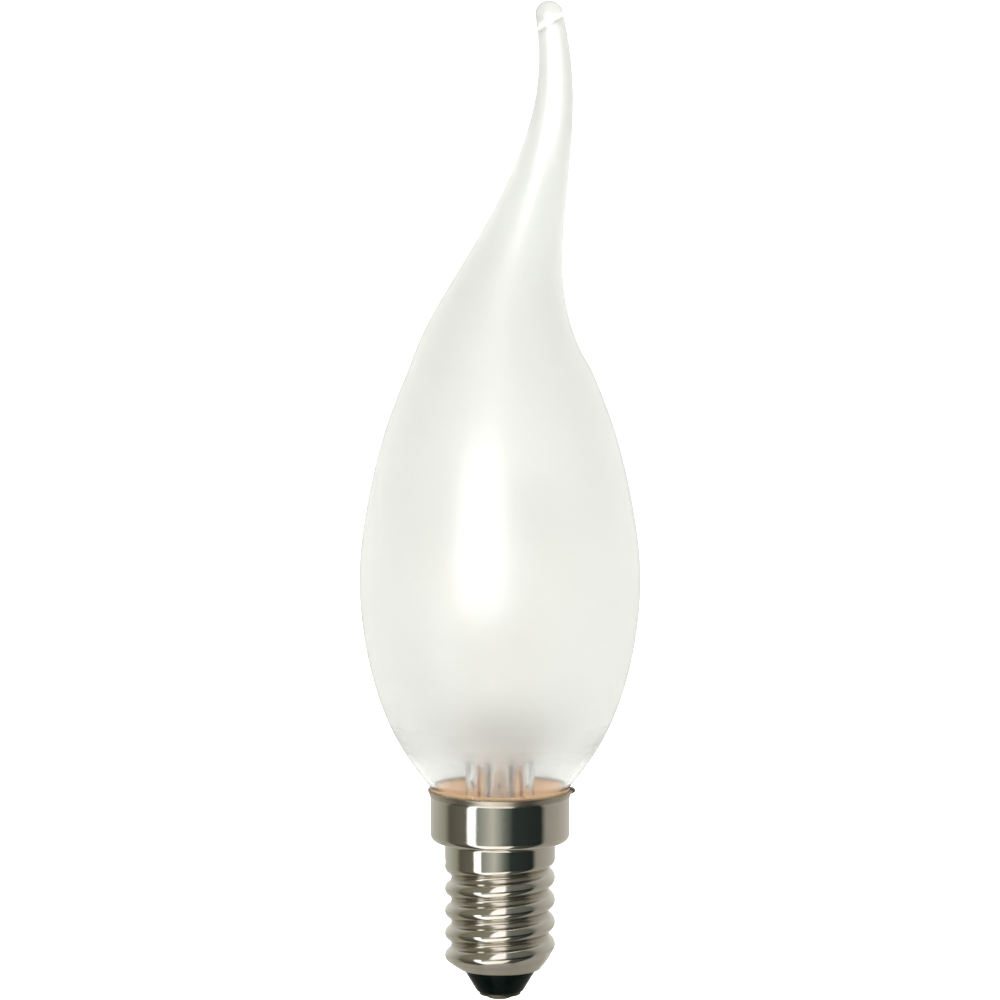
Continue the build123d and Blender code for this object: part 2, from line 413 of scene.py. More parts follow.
@dataclass(frozen=True)
class Finish:
    """What every finish has: a name, and a material whose surface each kind of finish lays out."""

    name: str

    def surface(self, bench: NodeBench, shelf: EffectShelf) -> dict[str, object]:
        """Lays out the nodes of the surface.

        Args:
            bench: The material's bench.
            shelf: The shared effects.

        Returns:
            The inputs of the surface shader.
        """
        raise NotImplementedError

    def material(self, shelf: EffectShelf) -> Material:
        """Builds the material: its surface, the shader that takes it, and the output.

        Args:
            shelf: The shared effects.

        Returns:
            The material.
        """
        material = bpy.data.materials.new(self.name)
        material.use_nodes = True
        bench = NodeBench(material.node_tree)
        shader = bench.add("ShaderNodeBsdfPrincipled", self.surface(bench, shelf))
        bench.add("ShaderNodeOutputMaterial", {"Surface": shader.outputs[0]})
        return material


@dataclass(frozen=True)
class FrostedGlass(Finish):
    """Etched glass: satin all over, nearly clear at the neck, and drawn thick and clear at the end bead."""

    # The clear neck's and the bead's colours are darkened to paint the shade seen through them.
    clear_colour_and_painted_shade: Colour = (0.715, 0.72, 0.705)
    etched_colour: Colour = (0.978, 0.99, 0.965)
    bead_colour_and_painted_shade: Colour = (0.365, 0.37, 0.358)
    cloud_scale: float = 70.0
    cloud_share: float = 0.985
    # Painted light and shade: a darkened face, paler rims, a paler core down the drawn tip and a paler foot.
    painted_face_shade: float = 0.715
    painted_rim_gain: float = 0.59
    painted_tip_rim_gain: float = 0.2
    painted_core_gain: float = 0.22
    core_reach: float = 0.09
    painted_foot_gain: float = 0.03
    foot_span: Point = (36.0, 60.0)
    outer_clear: float = 0.04
    outer_etched: float = 0.33
    outer_bead: float = 0.28
    inner_clear: float = 0.12
    inner_etched: float = 0.72
    border_swing: float = 4.0
    refraction: float = 1.5
    grain_scale: float = 2600.0
    grain_range: Point = (0.95, 1.05)
    grain_relief: Point = (0.12, 0.04)

    def painted_tint(self, bench: NodeBench, shelf: EffectShelf, frost: Socket, drawn: Socket) -> Socket:
        """Lays out the wall's colour with painted light and shade: darkened overall, paler towards the edges,
        at the foot and down the drawn tip's middle.

        Args:
            bench: The material's bench.
            shelf: The shared effects.
            frost: How etched the glass is.
            drawn: How far it is on the drawn tip.

        Returns:
            The colour's socket.
        """
        cloud = shelf.place(bench, Effect.SPECKLE, Scale=self.cloud_scale)[0]
        etched = bench.blend(cloud, shade(self.etched_colour, self.cloud_share), self.etched_colour)
        facing = bench.add("ShaderNodeLayerWeight", {"Blend": 0.5}).outputs["Facing"]
        gain = bench.spread(drawn, (0.0, self.painted_rim_gain), (1.0, self.painted_tip_rim_gain))
        # Painted rim light: paler where the wall is seen edge-on.
        rim = bench.math("MULTIPLY_ADD", bench.math("MULTIPLY", facing, facing), gain, self.painted_face_shade)
        # Painted highlight down the middle of the drawn tip.
        core = bench.spread(facing, (0.0, self.painted_core_gain), (self.core_reach, 0.0))
        # Painted light from below: paler towards the foot.
        low, high = [end * MM for end in self.foot_span]
        foot = bench.spread(bench.axes(bench.spot())[2], (low, self.painted_foot_gain), (high, 0.0))
        face = bench.math("ADD", foot, bench.math("MULTIPLY_ADD", core, drawn, rim))
        depth = bench.math("MINIMUM", face, 1.0)
        return bench.blend(1.0, bench.blend(frost, self.clear_colour_and_painted_shade, etched), depth, "MULTIPLY")

    def etch(self, bench: NodeBench, frost: Socket, inside: Socket, bead: Socket) -> Socket:
        """Lays out the roughness, whose border at the neck is broken up like dust.

        Args:
            bench: The material's bench.
            frost: How etched the glass is.
            inside: Whether the skin is the wall's inner one.
            bead: How far it is on the clear bead.

        Returns:
            The roughness socket.
        """
        skin = bench.spread(frost, (0.0, self.outer_clear), (1.0, self.outer_etched))
        outer = bench.math("MULTIPLY_ADD", bead, self.outer_bead - self.outer_clear, skin)
        inner = bench.spread(frost, (0.0, self.inner_clear), (1.0, self.inner_etched))
        etch = bench.math("ADD", outer, bench.math("MULTIPLY", inside, bench.math("SUBTRACT", inner, outer)))
        dust = bench.add("ShaderNodeTexWhiteNoise", {"Vector": bench.spot()}).outputs["Value"]
        border = bench.math("MULTIPLY", frost, bench.math("SUBTRACT", 1.0, frost))
        swing = bench.math("MULTIPLY", border, self.border_swing)
        fine = bench.math("MULTIPLY_ADD", bench.math("SUBTRACT", dust, 0.5), swing, 1.0)
        return bench.math("MULTIPLY", etch, fine)

    def surface(self, bench: NodeBench, shelf: EffectShelf) -> dict[str, object]:
        """Lays out the glass from the marks that the bulb's mesh carries.

        Args:
            bench: The material's bench.
            shelf: The shared effects.

        Returns:
            The inputs of the surface shader.
        """
        frost, inside, bead, drawn = [bench.mark(name) for name in ("frost", "inside", "bead", "drawn")]
        low, high = self.grain_range
        grain = shelf.place(bench, Effect.SPECKLE, Scale=self.grain_scale, Detail=2.0, Low=low, High=high)[0]
        return {
            # The bead's darkened colour paints its shade.
            "Base Color": bench.blend(bead, self.painted_tint(bench, shelf, frost, drawn), self.bead_colour_and_painted_shade),
            "Roughness": self.etch(bench, frost, inside, bead),
            "IOR": self.refraction,
            "Transmission Weight": 1.0,
            "Normal": bench.bump(bench.math("MULTIPLY", grain, frost), self.grain_relief),
        }


@dataclass(frozen=True)
class ClearGlass(Finish):
    """The stem's drawn tube: clear, a little wavy.

    Attributes:
        painted_bowl_glow: A faint painted glow, given off as emission, that stands in for the light in the
            bowl which its skin scatters.
    """

    colour: Colour = (0.985, 0.99, 0.985)
    wave_share: float = 0.97
    painted_bowl_glow: Colour = (0.035, 0.03, 0.027)
    refraction: float = 1.52
    shine: float = 0.9
    wave_scale: float = 260.0
    roughness: Point = (0.02, 0.06)
    wave_relief: Point = (0.3, 0.1)

    def surface(self, bench: NodeBench, shelf: EffectShelf) -> dict[str, object]:
        """Lays out the clear glass.

        Args:
            bench: The material's bench.
            shelf: The shared effects.

        Returns:
            The inputs of the surface shader.
        """
        wave = shelf.place(bench, Effect.SPECKLE, Scale=self.wave_scale, Detail=1.0)[0]
        return {
            "Base Color": bench.blend(wave, shade(self.colour, self.wave_share), self.colour),
            "Roughness": bench.spread(wave, (0.0, self.roughness[0]), (1.0, self.roughness[1])),
            "IOR": self.refraction,
            "Transmission Weight": 1.0,
            "Specular IOR Level": self.shine,
            # Painted glow: emission that stands in for the bowl's light on the stem.
            "Emission Color": self.painted_bowl_glow,
            "Emission Strength": 1.0,
            "Normal": bench.bump(wave, self.wave_relief),
        }


@dataclass(frozen=True)
class BlackGlass(Finish):
    """The insulator's glossy black glass, with mould lines and a little dust."""

    colour: Colour = (0.0004, 0.002, 0.0015)
    dust: Colour = (0.0025, 0.0045, 0.004)
    dust_patches: float = 0.5
    dust_scale: float = 900.0
    roughness: Point = (0.09, 0.3)
    refraction: float = 1.5
    shine: float = 0.06
    lines: float = 3500.0
    waviness: float = 150.0
    line_relief: Point = (0.1, 0.04)

    def surface(self, bench: NodeBench, shelf: EffectShelf) -> dict[str, object]:
        """Lays out the black glass.

        Args:
            bench: The material's bench.
            shelf: The shared effects.

        Returns:
            The inputs of the surface shader.
        """
        lines = shelf.place(bench, Effect.DRAWN_LINES, Lines=self.lines, Waviness=self.waviness)[0]
        patches = {"Patches": self.dust_patches, "Scale": self.dust_scale}
        stain = shelf.place(bench, Effect.STAIN, Clean=self.colour, Stain=self.dust, **patches)
        ends = (0.0, self.roughness[0]), (self.dust_patches, self.roughness[1])
        return {
            "Base Color": stain["Color"],
            "Roughness": bench.spread(stain["Mask"], *ends),
            "IOR": self.refraction,
            "Specular IOR Level": self.shine,
            "Normal": bench.bump(lines, self.line_relief),
        }


@dataclass(frozen=True)
class Metal(Finish):
    """A metal skin: clean colour, stain in patches, painted shade and grime in crevices, drawn lines and
    grain.

    Attributes:
        smooth: Roughness where it is clean.
        dull: Roughness where it is rubbed.
        grime: Roughness that the depth of a crevice adds.
    """

    colour: Colour
    stain: Colour
    smooth: float
    dull: float
    patches: float = 0.2
    patch_scale: float = 250.0
    line_bump: float = 0.05
    line_reach: float = 0.02
    grain_scale: float = 900.0
    grain_bump: float = 0.1
    grain_reach: float = 0.03
    wear_share: float = 0.6
    wear_span: Point = (0.2, 0.7)
    grime: float = 0.0
    grime_power: float = 3.0

    def surface(self, bench: NodeBench, shelf: EffectShelf) -> dict[str, object]:
        """Lays out the metal.

        Args:
            bench: The material's bench.
            shelf: The shared effects.

        Returns:
            The inputs of the surface shader.
        """
        # The crevice mark paints shade in the stain's colour, and grime that roughens.
        crevice = bench.mark("crevice")
        patches = {"Patches": self.patches, "Scale": self.patch_scale, "Crevice": crevice}
        stain = shelf.place(bench, Effect.STAIN, Clean=self.colour, Stain=self.stain, **patches)
        lines = shelf.place(bench, Effect.DRAWN_LINES)[0]
        grain = shelf.place(bench, Effect.SPECKLE, Scale=self.grain_scale)[0]
        wear_and_shade = bench.math("MULTIPLY", bench.math("ADD", stain["Mask"], lines), self.wear_share)
        rubbed = bench.spread(wear_and_shade, (self.wear_span[0], self.smooth), (self.wear_span[1], self.dull))
        grimy = bench.math("POWER", crevice, self.grime_power)
        drawn = bench.bump(lines, (self.line_bump, self.line_reach))
        return {
            "Base Color": stain["Color"],
            "Metallic": 1.0,
            "Roughness": bench.math("MULTIPLY_ADD", grimy, self.grime, rubbed),
            "Normal": bench.bump(grain, (self.grain_bump, self.grain_reach), drawn),
        }


@dataclass(frozen=True)
class BakedCement(Finish):
    """Baked resin cement: clean orange against the glass, browner where it is bare, with pale filler grains.

    Attributes:
        painted_bowl_glow: A painted glow, given off as emission where the cement isn't bare, that stands in
            for the light the bowl throws down on it.
    """

    colour: Colour = (0.92, 0.5, 0.25)
    painted_bowl_glow: Colour = (1.84, 1.16, 0.69)
    bare: Colour = (0.48, 0.34, 0.2)
    pale: Colour = (0.7, 0.54, 0.38)
    pale_start: float = 0.55
    pale_share: float = 0.7
    burnt: Colour = (0.42, 0.26, 0.14)
    burnt_patches: float = 0.8
    burnt_scale: float = 420.0
    grain_scale: float = 2200.0
    roughness: Point = (0.5, 0.8)
    grain_relief: Point = (0.6, 0.06)

    def surface(self, bench: NodeBench, shelf: EffectShelf) -> dict[str, object]:
        """Lays out the cement.

        Args:
            bench: The material's bench.
            shelf: The shared effects.

        Returns:
            The inputs of the surface shader.
        """
        bare = bench.mark("bare")
        grains = shelf.place(bench, Effect.SPECKLE, Scale=self.grain_scale, Detail=2.0)[0]
        clean = bench.blend(bare, self.colour, self.bare)
        filler = bench.spread(grains, (self.pale_start, 0.0), (1.0, self.pale_share))
        sandy = bench.blend(filler, clean, self.pale)
        burnt = {"Stain": self.burnt, "Patches": bench.math("MULTIPLY", bare, self.burnt_patches)}
        stain = shelf.place(bench, Effect.STAIN, Clean=sandy, Scale=self.burnt_scale, **burnt)
        return {
            "Base Color": stain["Color"],
            "Roughness": bench.spread(grains, (0.0, self.roughness[0]), (1.0, self.roughness[1])),
            # Painted glow: emission on the cement against the glass, standing in for the bowl's light.
            "Emission Color": bench.blend(bare, self.painted_bowl_glow, BLACK),
            "Emission Strength": 1.0,
            "Normal": bench.bump(grains, self.grain_relief),
        }


@dataclass(frozen=True)
class PaleFloor(Finish):
    """The floor's white paper, whose glow leans to the lamp's left.

    Attributes:
        lean: Shares of the glow at the left and at the right.
        reach: How far from the lamp's middle the lean goes, in metres.
    """

    colour: Colour = (0.9, 0.9, 0.89)
    cloud_share: float = 0.98
    cloud_scale: float = 3.0
    roughness: float = 0.7
    glow: float = 2.0
    lean: Point = (1.08, 0.95)
    reach: float = 0.12

    def surface(self, bench: NodeBench, shelf: EffectShelf) -> dict[str, object]:
        """Lays out the paper.

        Args:
            bench: The material's bench.
            shelf: The shared effects.

        Returns:
            The inputs of the surface shader.
        """
        spot = bench.spot()
        cloud = bench.cloud(spot, self.cloud_scale, detail=2.0)
        lean = bench.spread(bench.axes(spot)[0], (-self.reach, self.lean[0]), (self.reach, self.lean[1]))
        return {
            "Base Color": bench.blend(cloud, self.colour, shade(self.colour, self.cloud_share)),
            "Roughness": self.roughness,
            "Emission Color": WHITE,
            "Emission Strength": bench.math("MULTIPLY", lean, self.glow),
        }


@dataclass
class FinishSet:
    """All finishes of the lamp, built once, which dress its pieces."""

    shelf: EffectShelf

    def __post_init__(self) -> None:
        """Builds the materials and keeps the slot of each."""
        # Clean colour and stain of each metal; in crevices the stain paints shade.
        nickel = (0.74, 0.72, 0.67), (0.42, 0.37, 0.29)
        # The contact's brass and the dome's solder are darkened to paint the shade on the downward-facing
        # contact.
        brass = (0.22, 0.2, 0.15), (0.1, 0.085, 0.055)
        wear_and_shade = (0.2, 0.195, 0.155), (0.1, 0.095, 0.065)
        tin = (0.4, 0.39, 0.33), (0.22, 0.2, 0.14)
        copper = (0.78, 0.43, 0.3), (0.4, 0.2, 0.13)
        support = (0.46, 0.46, 0.46), (0.24, 0.23, 0.22)
        tungsten = (0.3, 0.3, 0.31), (0.16, 0.16, 0.17)
        # How the plate and the solder depart from a plain metal skin.
        plated = {"patches": 0.12, "line_bump": 0.006, "grain_scale": 240.0, "grain_bump": 0.18}
        lumpy = {"patches": 0.5, "patch_scale": 700.0, "grain_scale": 1800.0, "grain_bump": 0.35}
        finishes = [
            (Slot.FROSTED_GLASS, FrostedGlass("frosted_glass")),
            (Slot.STEM_GLASS, ClearGlass("stem_glass")),
            (Slot.BLACK_GLASS, BlackGlass("black_glass")),
            (Slot.CEMENT, BakedCement("capping_cement")),
            (Slot.NICKEL_PLATE, Metal("nickel_plate", *nickel, smooth=0.06, dull=0.17, grime=0.32, **plated)),
            (Slot.CONTACT_BRASS, Metal("contact_brass", *brass, smooth=0.35, dull=0.6, patches=0.5)),
            (Slot.SOLDER, Metal("shade_darkened_solder", *wear_and_shade, smooth=0.35, dull=0.6, **lumpy)),
            (Slot.SOLDER, Metal("tin_solder", *tin, smooth=0.35, dull=0.6, **lumpy)),
            (Slot.LEAD_COPPER, Metal("lead_copper", *copper, smooth=0.2, dull=0.45, patches=0.4)),
            (Slot.SUPPORT_METAL, Metal("support_metal", *support, smooth=0.25, dull=0.5)),
            (Slot.TUNGSTEN, Metal("tungsten", *tungsten, smooth=0.35, dull=0.6)),
        ]
        self.slots = {finish.name: slot for slot, finish in finishes}
        self.materials = {finish.name: finish.material(self.shelf) for _, finish in finishes}

    def place(self, bm: Mesh, name: str, finish: str, nodes: Sequence[str], sharp: float = 40.0) -> Piece:
        """Makes a mesh into a dressed piece of the lamp that stands for CAD nodes.

        Args:
            bm: The finished mesh, which is freed.
            name: The piece's name.
            finish: The name of its finish.
            nodes: The CAD nodes that it stands for.
            sharp: Edges that turn by more than this many degrees stay sharp.

        Returns:
            The piece's object.
        """
        mesh = bpy.data.meshes.new(name)
        bm.to_mesh(mesh)
        bm.free()
        mesh.polygons.foreach_set("use_smooth", [True] * len(mesh.polygons))
        mesh.set_sharp_from_angle(angle=math.radians(sharp))
        mesh.materials.append(self.materials[finish])
        piece = bpy.data.objects.new(name, mesh)
        bpy.context.scene.collection.objects.link(piece)
        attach(piece, BODY)
        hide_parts(*nodes)
        LOG.info("%s: %d faces", name, len(mesh.polygons))
        return piece


@dataclass
class GlassBulb:
    """The blown bulb: neck, bowl, flame and the bent tip with its bead."""

    finishes: FinishSet
    overall_length: float = 125.0
    belly_radius: float = 17.5
    belly_height: float = 53.5
    wall: float = 0.7
    neck_radius: float = 7.0
    mouth_height: float = 21.6
    neck_top_height: float = 23.0
    throat_radius: float = 8.45
    throat_height: float = 26.6
    bowl_depth: float = 30.3
    bowl_start_angle: float = 34.0
    bowl_stations: int = 5
    flame: tuple[Point, ...] = (
        (0.13, 0.935), (0.265, 0.79), (0.40, 0.553), (0.53, 0.311), (0.66, 0.157), (0.80, 0.064),
        (0.91, 0.022),
    )
    tip_radius: float = 1.7
    tip_lean: float = 6.8
    lean_start: float = 0.37
    lean_end: float = 0.89
    tip_return: float = 0.75
    slope_step: float = 0.01
    bead_radius: float = 1.725
    bead_steps: int = 14
    tip_wall: float = 0.35
    thin_foot: float = 95.0
    thin_top: float = 117.0
    bore_end_radius: float = 1.35
    bore_end_height: float = 121.7
    bore_end_rise: float = 0.55
    bore_end_steps: int = 6
    bore_tilt_reach: float = 3.0
    frost_foot: float = 30.0
    frost_top: float = 36.6
    drawn_foot: float = 102.0
    drawn_top: float = 113.0
    bead_frost_height: float = 122.55
    bead_frost_slope: float = 0.6
    bead_frost_blur: float = 0.9
    spacing: float = 0.55
    steps: int = 112

    @property
    def tip_height(self) -> float:
        """Height of the bead's middle."""
        return self.overall_length - self.bead_radius

    def lean(self, height: float) -> float:
        """Works out the bend of the centre line.

        Args:
            height: The height on it.

        Returns:
            Its sideways place there.
        """
        share = (height - self.belly_height) / (self.tip_height - self.belly_height)
        past = max(share - self.lean_end, 0.0) / (1.0 - self.lean_end)
        return self.tip_lean * rise(share, self.lean_start, self.lean_end) - self.tip_return * past * past

    def stations(self) -> list[Point]:
        """Sets out the blown form's outside.

        Returns:
            Radii and heights from the mouth to the tip, without the bead.
        """
        found = [
            (self.neck_radius, self.mouth_height),
            (self.neck_radius, self.neck_top_height),
            (self.throat_radius, self.throat_height),
        ]
        for count in range(self.bowl_stations):
            turned = count / (self.bowl_stations - 1)
            angle = math.radians(self.bowl_start_angle + (90.0 - self.bowl_start_angle) * turned)
            height = self.belly_height - self.bowl_depth * math.cos(angle)
            found.append((self.belly_radius * math.sin(angle), height))
        for way, left in self.flame:
            height = self.belly_height + (self.tip_height - self.belly_height) * way
            found.append((self.tip_radius + (self.belly_radius - self.tip_radius) * left, height))
        return found

    def wall_at(self, height: float) -> float:
        """The wall's thickness, which the drawn tip thins."""
        return self.wall - (self.wall - self.tip_wall) * rise(height, self.thin_foot, self.thin_top)

    @staticmethod
    def dome(radius: float, height: float, top: float, steps: int) -> list[Point]:
        """Points of a round end over a radius, by how far it rises, without its start and its pole."""
        turned = [math.pi / 2 * count / steps for count in range(1, steps)]
        return [(radius * math.cos(angle), height + top * math.sin(angle)) for angle in turned]

    def outline(self) -> list[Point]:
        """Draws the wall's section: down the bore, round the mouth, up the outside and over the bead.

        Returns:
            Its radii and heights.
        """
        inner = [(radius - self.wall_at(height), height) for radius, height in self.stations()]
        bore = smooth_line([*inner, (self.bore_end_radius, self.bore_end_height)], self.spacing)
        bore += self.dome(self.bore_end_radius, self.bore_end_height, self.bore_end_rise, self.bore_end_steps)
        bore.append((0.0, self.bore_end_height + self.bore_end_rise))
        outside = smooth_line([*self.stations(), (self.bead_radius, self.tip_height)], self.spacing)
        outside += self.dome(self.bead_radius, self.tip_height, self.bead_radius, self.bead_steps)
        return [*reversed(bore), *outside, (0.0, self.overall_length)]

    def tilt_end(self, straight: Vector) -> Vector:
        """Tilts the bore's end, which the sealed tip left oblique."""
        share = ease((straight.z / MM - self.bore_end_height) / self.bore_tilt_reach + 1.0)
        return straight + Vector((0.0, 0.0, self.bead_frost_slope * straight.x * share))

    def bend_vertex(self, straight: Vector) -> Vector:
        """Takes a point of the upright form to its place on the bent centre line.

        Args:
            straight: The point, in metres.

        Returns:
            Its place, in metres.
        """
        height = min(straight.z / MM, self.tip_height)
        step = self.slope_step
        slope = (self.lean(height + step) - self.lean(height - step)) / (2 * step)
        across = Vector((1.0, 0.0, -slope)).normalized()
        along = Vector((slope, 0.0, 1.0)).normalized()
        middle = Vector((self.lean(height) * MM, 0.0, height * MM))
        past = straight.z - height * MM
        return middle + across * straight.x + Vector((0.0, straight.y, 0.0)) + along * past

    def bead_at(self, spot: Vector) -> float:
        """How far a point is on the clear bead, whose border is oblique, from 0 to 1."""
        border = self.bead_frost_height + self.bead_frost_slope * (spot.x / MM - self.lean(self.tip_height))
        return ease((spot.z / MM - border) / self.bead_frost_blur + 0.5)

    def build(self) -> Piece:
        """Blows the bulb, bends it and marks where it is etched, drawn and clear.

        Returns:
            The bulb's object.
        """
        bm = turn(self.outline(), self.steps, closed=False)
        marks = [bm.verts.layers.float.new(name) for name in ("frost", "inside", "bead", "drawn")]
        frost, inside, bead, drawn = marks
        bm.normal_update()
        for vert in bm.verts:
            outward = vert.normal.dot(Vector((vert.co.x, vert.co.y, 0.0)))
            vert[inside] = 1.0 if outward < 0.0 else 0.0
        for vert in bm.verts:
            vert.co = self.bend_vertex(self.tilt_end(vert.co) if vert[inside] else vert.co)
            height = vert.co.z / MM
            vert[bead] = self.bead_at(vert.co) * (1.0 - vert[inside])
            vert[frost] = rise(height, self.frost_foot, self.frost_top) * (1.0 - vert[bead])
            vert[drawn] = rise(height, self.drawn_foot, self.drawn_top)
        return self.finishes.place(bm, "blown_bulb", "frosted_glass", ["glass_bulb"], sharp=60.0)


@dataclass
class ScrewCap:
    """The E14 cap: rolled shell, black glass button, contact, solder and the cement ring."""

    finishes: FinishSet
    bulb: GlassBulb
    sheet: float = 0.3
    thread_radius: float = 6.9
    pitch: float = 2.822
    depth: float = 0.8
    crest_share: float = 0.64
    crest_height: float = 7.05
    crest_drop: float = 3.0
    thread_top: float = 18.0
    fade_height: float = 1.5
    rim_height: float = 3.95
    rim_radius: float = 5.05
    bowl_turn: float = 38.0
    bowl_round: float = 0.25
    runout: float = 1.6
    band_radius: float = 6.9
    skirt_radius: float = 8.7
    skirt_foot: float = 20.1
    skirt_corner: float = 0.975
    skirt_top: float = 25.8
    lip_height: float = 26.6
    lip_radius: float = 9.1
    lip_round: float = 0.12
    lip_inner_round: float = 0.1
    bend_radius: float = 0.3
    flat_margin: float = 0.12
    thread_row: float = 0.11
    steps: int = 128
    # How strongly the grooves, the lip and the rim's foot get painted shade and grime.
    groove_shade_and_grime: float = 0.55
    lip_shade_and_grime: float = 0.75
    rim_shade_and_grime: float = 0.75
    rim_shade_and_grime_height: float = 1.0
    cement_rise: float = 0.4
    cement_gap: float = 0.02
    cement_slope: float = 0.1
    cement_bare: float = 0.3
    cement_spacing: float = 0.25
    cement_stations: int = 5
    cement_steps: int = 160
    cement_lumps: Point = (0.07, 0.6)
    button_foot: float = 0.95
    button_foot_radius: float = 2.8
    button_foot_round: float = 0.35
    button_top: float = 7.0
    button_inside: float = 5.75
    button_neck_radius: float = 4.6
    button_neck_round: float = 0.12
    button_shoulder: float = 6.45
    button_hollow: float = 1.2
    button_hollow_radius: float = 2.5
    button_gap: float = 0.05
    button_steps: int = 96
    contact_radius: float = 2.6
    contact_thickness: float = 0.3
    contact_round: float = 0.15
    contact_steps: int = 80
    eyelet_radius: float = 0.7
    eyelet_wall: float = 0.25
    eyelet_height: float = 1.2
    eyelet_round: float = 0.08
    dome_radius: float = 2.2
    dome_plug: float = 0.9
    dome_gap: float = 0.01
    dome_rings: int = 14
    dome_steps: int = 64
    dome_margin: float = 0.02
    dome_lumps: Point = (0.06, 0.9)
    side_bead: float = 0.45
    side_inset: float = 0.1125
    side_sink: float = 0.075
    side_stretch: Place = (0.9, 1.3, 0.85)
    side_lumps: Point = (0.07, 0.5)

    def fade(self, height: float) -> float:
        """How far the screw has faded into the band, from 0 to 1."""
        return ease((height - self.thread_top + self.fade_height) / self.fade_height)

    def arcs(self) -> Point:
        """Radii of the groove's two arcs, at the crest and at the root."""
        radii = (self.pitch**2 / 4 + self.depth**2) / (2 * self.depth)
        return radii * self.crest_share, radii * (1.0 - self.crest_share)

    def groove(self, turned: float) -> float:
        """Works out the groove's section: two arcs that meet in a tangent.

        Args:
            turned: The share of a turn from the crest.

        Returns:
            The depth below the crest.
        """
        crest_arc, root_arc = self.arcs()
        along = abs((turned + 0.5) % 1.0 - 0.5) * self.pitch
        if along < self.pitch / 2 * self.crest_share:
            return crest_arc - math.sqrt(crest_arc**2 - along**2)
        return self.depth - root_arc + math.sqrt(root_arc**2 - (self.pitch / 2 - along) ** 2)

    def last_crest(self, share: float) -> float:
        """Height of the lowest crest at a share of a turn, below which the shell rounds in to its rim."""
        return self.crest_height - self.pitch * min(1.0 - share, self.crest_drop * share)

    def bowl(self, height: float, last: float) -> float:
        """Works out how far the shell has rounded in to its rim: the crest's arc, then a full cone.

        Args:
            height: The height on the shell.
            last: Height of the last crest above it.

        Returns:
            The depth inside the crest's radius.
        """
        arc, turned = self.arcs()[0], math.radians(self.bowl_turn)
        below, drop = last - height, arc * math.sin(turned)
        if below <= drop:
            return arc - math.sqrt(arc**2 - max(below, 0.0) ** 2)
        start = arc * (1.0 - math.cos(turned))
        way = min((below - drop) / (last - drop - self.rim_height), 1.0)
        swell = way * (1.0 - self.bowl_round) + way**2 * self.bowl_round
        return start + (self.thread_radius - self.rim_radius - start) * swell

    def roll_depth(self, spot: Vector) -> float:
        """Works out how deep the shell is rolled in.

        Args:
            spot: A point of the shell, in metres.

        Returns:
            The depth of the screw's groove or of the rim's bowl, whichever is deeper.
        """
        height = spot.z / MM
        if height > self.thread_top:
            return 0.0
        share = (math.atan2(spot.y, spot.x) / FULL_TURN) % 1.0
        last = self.last_crest(share)
        strength = (1.0 - ease((last - height) / self.runout)) * (1.0 - self.fade(height))
        rolled = strength * self.groove((height - self.crest_height) / self.pitch - share)
        return max(rolled, self.bowl(height, last))

    def shell_outline(self) -> list[Point]:
        """Draws the sheet's section before rolling: up the outside, over the lip and down the inside.

        Returns:
            Its radii and heights.
        """
        span = self.thread_top - self.rim_height
        rows = round(span / self.thread_row)
        heights = [self.rim_height + span * row / rows for row in range(rows + 1)]
        outside = [(self.thread_radius, height) for height in heights]
        inside = [(radius - self.sheet, height) for radius, height in reversed(outside)]
        margin = self.flat_margin
        collar = [
            (self.band_radius, self.skirt_foot - self.bend_radius - margin),
            (self.band_radius, self.skirt_foot),
            (self.skirt_radius, self.skirt_foot),
            (self.skirt_radius, self.skirt_foot + self.skirt_corner + margin),
            (self.skirt_radius, self.skirt_top - self.bend_radius - margin),
            (self.skirt_radius, self.skirt_top),
            (self.lip_radius, self.lip_height),
            (self.lip_radius - self.sheet, self.lip_height),
            (self.skirt_radius - self.sheet, self.skirt_top),
            (self.skirt_radius - self.sheet, self.skirt_foot + self.sheet),
            (self.band_radius - self.sheet, self.skirt_foot + self.sheet),
        ]
        return [*outside, *collar, *inside]

    def build_shell(self) -> None:
        """Draws the shell from sheet, rolls its screw, rounds its bends and marks where painted shade and
        grime darken and roughen it.
        """
        bm = turn(self.shell_outline(), self.steps, closed=True)
        for vert in bm.verts:
            inward = Vector((vert.co.x, vert.co.y, 0.0)).normalized()
            vert.co -= inward * (self.roll_depth(vert.co) * MM)
        inner = self.skirt_radius - self.sheet
        # Radius, height, reach and faces of each round.
        rounds = [
            (self.band_radius, self.skirt_foot, self.bend_radius, 4),
            (self.skirt_radius, self.skirt_foot, self.skirt_corner, 9),
            (inner, self.skirt_foot + self.sheet, self.skirt_corner - self.sheet, 6),
            (self.skirt_radius, self.skirt_top, self.bend_radius, 5),
            (inner, self.skirt_top, self.bend_radius, 4),
            (self.lip_radius, self.lip_height, self.lip_round, 4),
            (self.lip_radius - self.sheet, self.lip_height, self.lip_inner_round, 3),
        ]
        for radius, height, reach, segments in rounds:
            round_ring(bm, (radius, height), reach, segments)
        # The crevice mark paints shade into the grooves, the lip and the rim's foot, and roughens them with
        # grime.
        crevice = bm.verts.layers.float.new("crevice")
        for vert in bm.verts:
            height = vert.co.z / MM
            rolled = self.groove_shade_and_grime * ease(self.roll_depth(vert.co) / self.depth)
            lip = self.lip_shade_and_grime * ease((height - self.skirt_top) / self.bend_radius + 0.5)
            rim = self.rim_shade_and_grime * ease(self.rim_height + self.rim_shade_and_grime_height - height)
            vert[crevice] = max(rolled, lip, rim)
        self.finishes.place(bm, "rolled_shell", "nickel_plate", ["cap_shell"], sharp=70.0)

